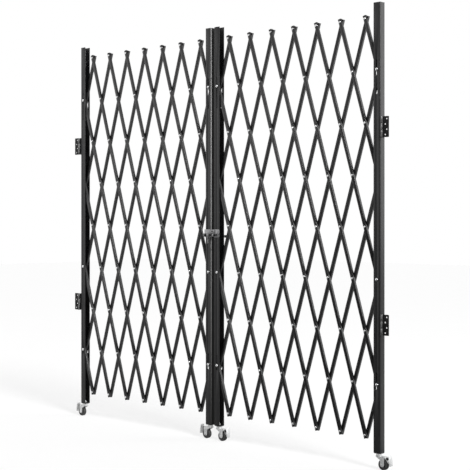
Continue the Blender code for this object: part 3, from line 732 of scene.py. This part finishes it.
def on_bolt(name, radius, low, high):
    """A round piece on the slide bolt's axis, between two places across."""
    return rod(name, radius, (low, BOLT_Y, BOLT_Z), (high, BOLT_Y, BOLT_Z), 32)


def saddle(low, width):
    """A saddle over the slide bolt, pressed from strip, from its left side and its width."""
    high = low + width
    front = BOLT_Y - SADDLE_HALF
    z = about(BOLT_Z, SADDLE_HALF)
    form = block("saddle", (low, high), (front, -LATCH_WALL / 2), z)
    rounded(form, SADDLE_ROUND, 5, lambda m, way: near(m.y, front) and along_x(way))
    bore = on_bolt("bore", SLIDE_RADIUS + RUN_GAP, low - OVERRUN, high + OVERRUN)
    return eased(punched(form, bore), EDGE)


def eye_plate(low, high, y, round_edge):
    """A hasp eye: a strip with one rounded end and the padlock's hole."""
    form = block("eye", (low, high), y, HASP_HEIGHTS)
    rounded(form, HASP_ROUND, 5, lambda m, way: near(m.x, round_edge) and along_y(way))
    hole_ends = (0, -2 * OVERRUN, EYE_HEIGHT), (0, 2 * OVERRUN, EYE_HEIGHT)
    hole = rod("hole", EYE_RADIUS, *hole_ends, 32)
    return eased(punched(form, hole), EDGE)


def latch_plate(low, high):
    """A plate on a post's flange with rounded corners."""
    form = block("plate", (low, high), (-LATCH_WALL, -HAIR), LATCH_HEIGHTS)
    rounded(form, LATCH_CORNER, 4, lambda m, way: along_y(way))
    return eased(form, EDGE)


DULL_ZINC = zinc_plate("dull_zinc_plate", (0.20, 0.20, 0.21), (0.36, 0.36, 0.36), 0.36)
# The slide bolt's steel is coloured near black all over, as painted shade where the bolt shows
# between the saddles.
SHADE_DARK_STEEL = zinc_plate("near_black_steel_as_painted_shade", (0.015, 0.015, 0.015), (0.05, 0.05, 0.05), 0.5)
far_edge = MEETING_HALF + POST_WIDTH
eye_root = MEETING_HALF + EYE_ROOT
left_latch = welded(
    "latch_plate_and_saddles",
    latch_plate(-far_edge - PLATE_END, -MEETING_HALF - PLATE_INSET),
    eye_plate(-eye_root, EYE_REACH, LEFT_EYE_Y, EYE_REACH),
    saddle(-far_edge + SADDLE_INSET, SADDLE_WIDTH),
    saddle(-MEETING_HALF - SADDLE_INSET - SADDLE_WIDTH, SADDLE_WIDTH),
)
fitted(left_latch, "left_meeting_post", DULL_ZINC, "zinc", "left_meeting_post")
right_latch = welded(
    "keeper_plate",
    latch_plate(MEETING_HALF + PLATE_INSET, far_edge - PLATE_INSET),
    eye_plate(-EYE_REACH, eye_root, RIGHT_EYE_Y, -EYE_REACH),
    saddle(MEETING_HALF + SADDLE_INSET, KEEPER_WIDTH),
)
fitted(right_latch, "right_meeting_post", DULL_ZINC, "zinc", "right_meeting_post")

slide_root = -far_edge - PLATE_INSET
slide = on_bolt("slide_bolt", SLIDE_RADIUS, slide_root, SLIDE_TIP)
rounded(slide, SLIDE_ROUND, 3, lambda m, way: near(m.x, SLIDE_TIP))
# Near black: painted shade between the saddles.
fitted(slide, "latch_bolt", SHADE_DARK_STEEL, "zinc", "latch_bolt")

END_KNOB_RADIUS = 0.0068
END_KNOB_LENGTH = 0.011
END_KNOB_ROUND = 0.0018


def moulded_plastic():
    """Black moulded nylon: fine grain and a little dust in it."""
    finish = Finish("black_nylon")
    grain = finish.noise(1800.0, 2.0)
    dust = finish.band(finish.noise(60.0, 3.0), 0.5, 0.8)
    dark, light = (0.013, 0.013, 0.014, 1), (0.024, 0.024, 0.024, 1)
    return finish.coat(
        {
            "Base Color": finish.between(dust, dark, light),
            "Roughness": 0.46 + dust * 0.15,
            "Normal": finish.bumped(grain, 0.00005),
        }
    )


NYLON = moulded_plastic()
knob_end = slide_root - END_KNOB_LENGTH
end_knob = on_bolt("latch_end_knob", END_KNOB_RADIUS, knob_end, slide_root)
rounded(end_knob, END_KNOB_ROUND, 4, lambda m, way: not along_x(way))
fitted(end_knob, "latch_bolt", NYLON, "zinc", "latch_bolt")

COLLAR_X = -0.0225
COLLAR_HALF = 0.004
COLLAR_RADIUS = 0.0084
COLLAR_EDGE = 0.0005
LEVER_HALF = (0.0035, 0.002)
LEVER_DROP = (0.0066, 0.0225)
GRIP_HALF = (0.005, 0.0025)
GRIP_DROP = (0.022, 0.0445)
GRIP_ROUND = 0.0035
GRIP_EDGE = 0.0008


def hanging(name, half, drop):
    """A flat piece below the collar, with half its width and depth and its drops from the bolt."""
    z = (BOLT_Z - drop[1], BOLT_Z - drop[0])
    return block(name, about(COLLAR_X, half[0]), about(BOLT_Y, half[1]), z)


collar = on_bolt("collar", COLLAR_RADIUS, *about(COLLAR_X, COLLAR_HALF))
bore = on_bolt("bore", SLIDE_RADIUS + HAIR, *about(COLLAR_X, OVERRUN))
eased(punched(collar, bore), COLLAR_EDGE)
smoothed(40)
fitted(collar, "latch_handle", DULL_ZINC, "zinc", "latch_handle")
lever = hanging("lever", LEVER_HALF, LEVER_DROP)
grip = hanging("grip", GRIP_HALF, GRIP_DROP)
grip_end = BOLT_Z - GRIP_DROP[1]
rounded(grip, GRIP_ROUND, 4, lambda m, way: near(m.z, grip_end) and along_y(way))
eased(grip, GRIP_EDGE)
handle = welded("latch_lever", eased(lever, 2 * EDGE), grip)
fitted(handle, "latch_handle", RUBBED_STEEL, "zinc", "latch_handle")

REAR_KNOB_HEIGHT = 1.053
REAR_KNOB_INSET = 0.006
REAR_KNOB_RADIUS = 0.007
REAR_KNOB_Y = (0.045, 0.057)
REAR_KNOB_ROUND = 0.002
STEM_RADIUS = 0.004
STEM_Y = (0.034, 0.0455)


def on_knob(name, radius, y, sides):
    """A round piece on the rear knob's axis, between two depths."""
    x = far_edge - REAR_KNOB_INSET
    return rod(name, radius, (x, y[0], REAR_KNOB_HEIGHT), (x, y[1], REAR_KNOB_HEIGHT), sides)


stem = on_knob("stem", STEM_RADIUS, STEM_Y, 24)
knob = on_knob("knob", REAR_KNOB_RADIUS, REAR_KNOB_Y, 32)
rounded(knob, REAR_KNOB_ROUND, 4, lambda m, way: not along_y(way))
rear_knob = welded("rear_knob", knob, stem)
smoothed(40)
fitted(rear_knob, "right_meeting_post", NYLON, "black_paint", "right_meeting_post")

# Swivel casters
# Under each post a zinc-plated fork swivels on a ball race, with a 50 mm rubber wheel on a bolt
# and a pressed brake pedal. The pedal's arm slopes down to a broad plate that stands up.

CASTER_TRAIL = 0.026
WHEEL_RADIUS = 0.025
WHEEL_HALF = 0.010
TYRE_HEIGHT = 0.0085
TYRE_SHOULDER = 0.0035
HUB_RADIUS = 0.0166
HUB_STEPS = ((0.0016, 0), (0.0012, -0.0025), (0.0075, 0), (0.0006, 0.0032))
FORK_INNER = 0.01195
FORK_WALL = 0.002
FORK_OUTER = FORK_INNER + FORK_WALL
FORK_EDGE = 0.0005
CROWN_X = (-0.014, 0.038)
CROWN_TOP = 0.0615
CROWN_ROUND = 0.009
CROWN_MIDDLE = CROWN_TOP - FORK_WALL / 2
SKIRT_X = (-0.012, 0.037)
SKIRT_FOOT = 0.048
SKIRT_SLANT = 0.022
STRIP_X = (0.0145, 0.0365)
STRIP_Z = (0.0155, 0.052)
STRIP_ROUND = 0.0085
RACE_RADIUS = 0.014
RACE_TOP = 0.0727
RACE_ROUND = 0.004
RACE_EDGE = 0.0004
RACE_STEPS = ((0.0018, 0), (0.0008, -0.0008))
KING_PIN_RADIUS = 0.0039
KING_PIN_Z = (0.0715, 0.0905)
KING_NUT_RADIUS = 0.007
KING_NUT_Z = (0.0793, 0.0863)
AXLE_RADIUS = 0.0029
AXLE_HALF = 0.0145
AXLE_NUT_RADIUS = 0.0055
AXLE_NUT_WIDTH = 0.003
PEDAL_SLOPE = math.radians(-50)
PEDAL_START = Vector((0.036, 0, CROWN_MIDDLE))
PEDAL_REACH = 0.049
PEDAL_HALF = 0.009
PEDAL_HALF_WALL = 0.0008
TOE_LEAN = math.radians(8)
TOE_HALF = 0.0125
TOE_HALF_WALL = 0.0012
TOE_RISE = 0.048
TOE_DROP = 0.0005
TOE_CORNER = 0.005
TOE_EDGE = 0.0007
CAP_X = (0.043, 0.054)
CAP_HALF = 0.0075
CAP_Z = (CROWN_MIDDLE + 0.0004, CROWN_MIDDLE + 0.0095)
CAP_ROUND = 0.003
CAP_EDGE = 0.0008


def rubber():
    """Black rubber tread: matt, scuffed paler where it rolls."""
    finish = Finish("black_rubber")
    scuffs = finish.band(finish.noise(140.0, 5.0, 0.65), 0.42, 0.72)
    grain = finish.noise(1500.0, 3.0)
    dark, light = (0.014, 0.014, 0.014, 1), (0.034, 0.034, 0.033, 1)
    return finish.coat(
        {
            "Base Color": finish.between(scuffs, dark, light),
            "Roughness": 0.58 + scuffs * 0.2,
            "Normal": finish.bumped(grain, 0.0001),
        }
    )


RUBBER = rubber()
CASTER_ZINC = zinc_plate("caster_zinc_plate", (0.48, 0.49, 0.50), (0.68, 0.68, 0.67), 0.34, 0.6)


def fork_leg(side):
    """One side of the fork: a skirt under the crown that narrows to a strip round the axle."""
    y = sorted((side * FORK_INNER, side * FORK_OUTER))
    skirt = block("leg", SKIRT_X, y, (SKIRT_FOOT, CROWN_MIDDLE))
    pick_edges(skirt, lambda m, way: near(m.x, SKIRT_X[0]) and near(m.z, SKIRT_FOOT))
    bpy.ops.transform.translate(value=(SKIRT_SLANT, 0, 0))
    only(skirt)
    strip = block("strip", STRIP_X, y, STRIP_Z)
    rounded(strip, STRIP_ROUND, 8, lambda m, way: near(m.z, STRIP_Z[0]) and along_y(way))
    return eased(punched(skirt, strip, "UNION"), EDGE)


def tilted(piece, angle, centre):
    """A piece of the pedal turned about a place, its right end rising."""
    centre = Matrix.Translation(centre)
    piece.data.transform(centre @ Matrix.Rotation(-angle, 4, "Y") @ centre.inverted())
    return piece


def pedal():
    """The brake pedal: a pressed arm and the broad plate at its end."""
    slope = Vector((math.cos(PEDAL_SLOPE), 0, math.sin(PEDAL_SLOPE)))
    toe = PEDAL_START + slope * PEDAL_REACH
    arm_x = (PEDAL_START.x, PEDAL_START.x + PEDAL_REACH)
    arm_z = about(CROWN_MIDDLE, PEDAL_HALF_WALL)
    arm = block("arm", arm_x, about(0, PEDAL_HALF), arm_z)
    tilted(eased(arm, FORK_EDGE), PEDAL_SLOPE, PEDAL_START)
    plate_x = about(toe.x, TOE_HALF_WALL)
    plate_z = (toe.z - TOE_DROP, toe.z + TOE_RISE)
    plate = block("plate", plate_x, about(0, TOE_HALF), plate_z)
    rounded(plate, TOE_CORNER, 5, lambda m, way: along_x(way))
    tilted(eased(plate, TOE_EDGE), TOE_LEAN, toe)
    return welded("pedal", arm, plate)


def pedal_cap():
    """The black cap on the pedal's arm, which a foot pushes back to free the wheel."""
    form = block("cap", CAP_X, about(0, CAP_HALF), CAP_Z)
    rounded(form, CAP_ROUND, 5, lambda m, way: near(m.z, CAP_Z[1]) and along_y(way))
    return tilted(eased(form, CAP_EDGE), PEDAL_SLOPE, PEDAL_START)


def on_swivel(name, radius, low, high, sides):
    """A round piece on the swivel's axis, between two heights."""
    return rod(name, radius, (0, 0, low), (0, 0, high), sides)


def on_axle(name, radius, near_end, far_end, sides):
    """A round piece on the wheel's axis, between two depths."""
    ends = [(CASTER_TRAIL, y, WHEEL_RADIUS) for y in (near_end, far_end)]
    return rod(name, radius, *ends, sides)


def fork():
    """The fork with its race, king pin, axle and pedal, trailing to the right."""
    crown_z = (CROWN_TOP - FORK_WALL, CROWN_TOP)
    crown = block("crown", CROWN_X, about(0, FORK_OUTER), crown_z)
    rounded(crown, CROWN_ROUND, 8, lambda m, way: near(m.x, CROWN_X[0]) and along_z(way))
    eased(crown, FORK_EDGE)
    race = on_swivel("race", RACE_RADIUS, CROWN_MIDDLE, RACE_TOP, 40)
    rounded(race, RACE_ROUND, 5, lambda m, way: near(m.z, CROWN_MIDDLE))
    stepped(race, lambda m, normal: normal.z > 0.9, RACE_STEPS)
    eased(race, RACE_EDGE, 50)
    king_pin = eased(on_swivel("king_pin", KING_PIN_RADIUS, *KING_PIN_Z, 24), 2 * EDGE, 60)
    king_nut = eased(on_swivel("king_nut", KING_NUT_RADIUS, *KING_NUT_Z, 6), 2 * EDGE)
    axle = on_axle("axle", AXLE_RADIUS, -AXLE_HALF, AXLE_HALF, 24)
    nuts, legs = [], []
    for side in (-1, 1):
        nut_ends = (side * FORK_OUTER, side * (FORK_OUTER + AXLE_NUT_WIDTH))
        nut = on_axle("axle_nut", AXLE_NUT_RADIUS, *nut_ends, 6)
        nuts.append(eased(nut, NUT_EDGE))
        legs.append(fork_leg(side))
    return welded("fork", crown, race, king_pin, king_nut, axle, *nuts, *legs, pedal())


wheel_ends = (0, -WHEEL_HALF, 0), (0, WHEEL_HALF, 0)
tyre = rod("tyre", WHEEL_RADIUS, *wheel_ends, 64)
pick_faces(tyre, lambda m, normal: along_y(normal))
bpy.ops.mesh.inset(thickness=TYRE_HEIGHT, depth=0)
bpy.ops.mesh.delete(type="FACE")
rounded(
    tyre,
    TYRE_SHOULDER,
    5,
    lambda m, way: not along_y(way) and near(math.hypot(m.x, m.z), WHEEL_RADIUS),
)
hub = rod("hub", HUB_RADIUS, *wheel_ends, 48)
stepped(hub, lambda m, normal: along_y(normal), HUB_STEPS)
eased(hub, EDGE, 50)
only(tyre)
smoothed(40)

fork_form = fork()
cap_form = pedal_cap()
for name, (bolt_x, way) in POSTS.items():
    stem = name.replace("_post", "_caster")
    side = -1 if bolt_x < 0 else 1
    x = bolt_x + way * (POST_WIDTH / 2 - BOLT_INSET)
    turn = (0, 0, 0 if side > 0 else math.pi)
    for source, part, material in (
        (fork_form, "fork_and_pedal", CASTER_ZINC),
        (cap_form, "pedal_cap", NYLON),
    ):
        piece = moved(copied(source, f"{stem}_{part}"), (x, LAYER_Y, 0), turn)
        fitted(piece, f"{stem}_fork", material, "zinc", f"{stem}_fork")
    for source, part, material in ((tyre, "tyre", RUBBER), (hub, "hub", NYLON)):
        place = (x + side * CASTER_TRAIL, LAYER_Y, WHEEL_RADIUS)
        piece = moved(copied(source, f"{stem}_{part}"), place)
        fitted(piece, f"{stem}_wheel", material, "tyre", f"{stem}_wheel")
for source in (tyre, hub, fork_form, cap_form):
    bpy.data.objects.remove(source)

# Floor, light and camera
# A white sky and a pale studio floor, which reflections see darker, with a soft sun and a large
# lamp to the right, another lamp at the left, and a level camera six metres off at the right.

FLOOR_SIZE = 40
SHADOW_SHARE = 0.3
SKY_LIGHT = 0.55
REFLECTED_FLOOR = (0.08, 0.75)
REFLECTED_SLANT = 0.75
REFLECTED_SPAN = (1.0, -1.2)
BEHIND_SPAN = (0.0, 0.3)
REFLECTED_SKY = (0.05, 0.8)
HORIZON_SPAN = (0.02, 0.12)
CAMERA_PLACE = Vector((4.394, -4.389, 1.1535))
CAMERA_AZIMUTH = 43.96
CAMERA_LENS = 91.9
CAMERA_SHIFT = -0.0384


def pale_floor():
    """A floor that looks white to the camera and keeps the gate's shadow."""
    finish = Finish("pale_floor")
    mottle = finish.noise(3.0, 3.0)
    colour = finish.between(mottle, (0.88, 0.88, 0.88, 1), (0.92, 0.92, 0.92, 1))
    finish.coat({"Base Color": colour, "Roughness": 0.9, "Specular IOR Level": 0.2})
    shaded = Wire(finish, finish.shader.outputs[0])
    share = seen_as_backdrop(finish) * (1 - SHADOW_SHARE)
    shown = mixed(finish, share, shaded, white_light(finish, "Emission", 1.0))
    deep = finish.axis("Y")
    slant = finish.axis("X") - middle_x - deep * REFLECTED_SLANT
    front = finish.band(slant, *REFLECTED_SPAN) * REFLECTED_FLOOR[1] + REFLECTED_FLOOR[0]
    lit = finish.sum("MAXIMUM", front, finish.band(deep, *BEHIND_SPAN))
    shown = mixed(finish, mirrored(finish), shown, white_light(finish, "Emission", lit))
    finish.plug(finish.tree.nodes["Material Output"].inputs["Surface"], shown)
    return finish.material


def white_light(finish, kind, strength):
    """White light from an emission or a background."""
    inputs = {"Color": (1, 1, 1, 1), "Strength": strength}
    return finish.node(f"ShaderNode{kind}", None, inputs)


def mixed(finish, share, first, second):
    """One surface or light where the share is 0 and another where it is 1."""
    return finish.node("ShaderNodeMixShader", None, {0: share, 1: first, 2: second})


def seen_as_backdrop(finish):
    """1 where the camera or a see-through surface looks, and 0 for reflections and light."""
    rays = ("Is Camera Ray", "Is Transmission Ray")
    camera, through = (finish.node("ShaderNodeLightPath", out=ray) for ray in rays)
    return finish.sum("MINIMUM", camera + through, 1.0)


def mirrored(finish):
    """1 where a reflection looks, and 0 elsewhere."""
    return finish.node("ShaderNodeLightPath", out="Is Glossy Ray")


bpy.ops.object.select_all(action="DESELECT")
floor_place = (middle_x, 0, floor_height - HAIR)
bpy.ops.mesh.primitive_plane_add(size=FLOOR_SIZE, location=floor_place)
floor = named("studio_floor")
floor.data.materials.append(pale_floor())


class Sky(Finish):
    """The world's nodes, made as a material's are."""

    def __init__(self, world):
        world.use_nodes = True
        self.tree = world.node_tree
        self.output = self.tree.nodes["World Output"].inputs["Surface"]


bpy.context.scene.world = bpy.data.worlds.new("studio")
sky = Sky(bpy.context.scene.world)
light = white_light(sky, "Background", SKY_LIGHT)
seen = mixed(sky, seen_as_backdrop(sky), light, white_light(sky, "Background", 1.0))
toward = sky.node("ShaderNodeTexCoord", out="Generated")
upward = sky.node("ShaderNodeSeparateXYZ", None, {0: toward}, out="Z")
strength = sky.band(upward, *HORIZON_SPAN) * REFLECTED_SKY[1] + REFLECTED_SKY[0]
dusk = white_light(sky, "Background", strength)
sky.plug(sky.output, mixed(sky, mirrored(sky), seen, dusk))


def sun(name, azimuth, elevation, strength, softness):
    """A soft distant lamp, its azimuth counted from the front towards the right."""
    bpy.ops.object.light_add(
        type="SUN",
        location=TO_SOLIDS @ Vector((0, -2, 4)),
        rotation=(math.radians(90 - elevation), 0, math.radians(azimuth)),
    )
    lamp = bpy.context.object
    lamp.name = lamp.data.name = name
    lamp.data.energy, lamp.data.angle = strength, math.radians(softness)


def softbox(name, place, target, width, height, glow):
    """A large flat lamp of a given brightness that looks at a place."""
    place, target = Vector(place), Vector(target)
    turn = (target - place).to_track_quat("-Z", "Y").to_euler()
    bpy.ops.object.light_add(type="AREA", location=TO_SOLIDS @ place, rotation=turn)
    lamp = bpy.context.object
    lamp.name = lamp.data.name = name
    lamp.data.shape = "RECTANGLE"
    lamp.data.size, lamp.data.size_y = width, height
    lamp.data.energy = glow * math.pi * width * height


sun("key_lamp", 75, 30, 3.0, 15)
softbox("left_softbox", (-6.0, -4.4, 2.45), (0, 0, 1.1), 4.6, 4.7, 1.1)
softbox("right_softbox", (4.4, 4.4, 3.2), (0, 0, 1.1), 2.6, 5.4, 3.4)

bpy.ops.object.camera_add(
    location=TO_SOLIDS @ CAMERA_PLACE,
    rotation=(math.radians(90), 0, math.radians(CAMERA_AZIMUTH)),
)
camera = bpy.context.object
camera.name = camera.data.name = "camera"
camera.data.lens = CAMERA_LENS
camera.data.sensor_width = 36
camera.data.shift_y = CAMERA_SHIFT
camera.data.clip_end = 100
bpy.context.scene.camera = camera
bpy.context.scene.view_settings.view_transform = "Standard"
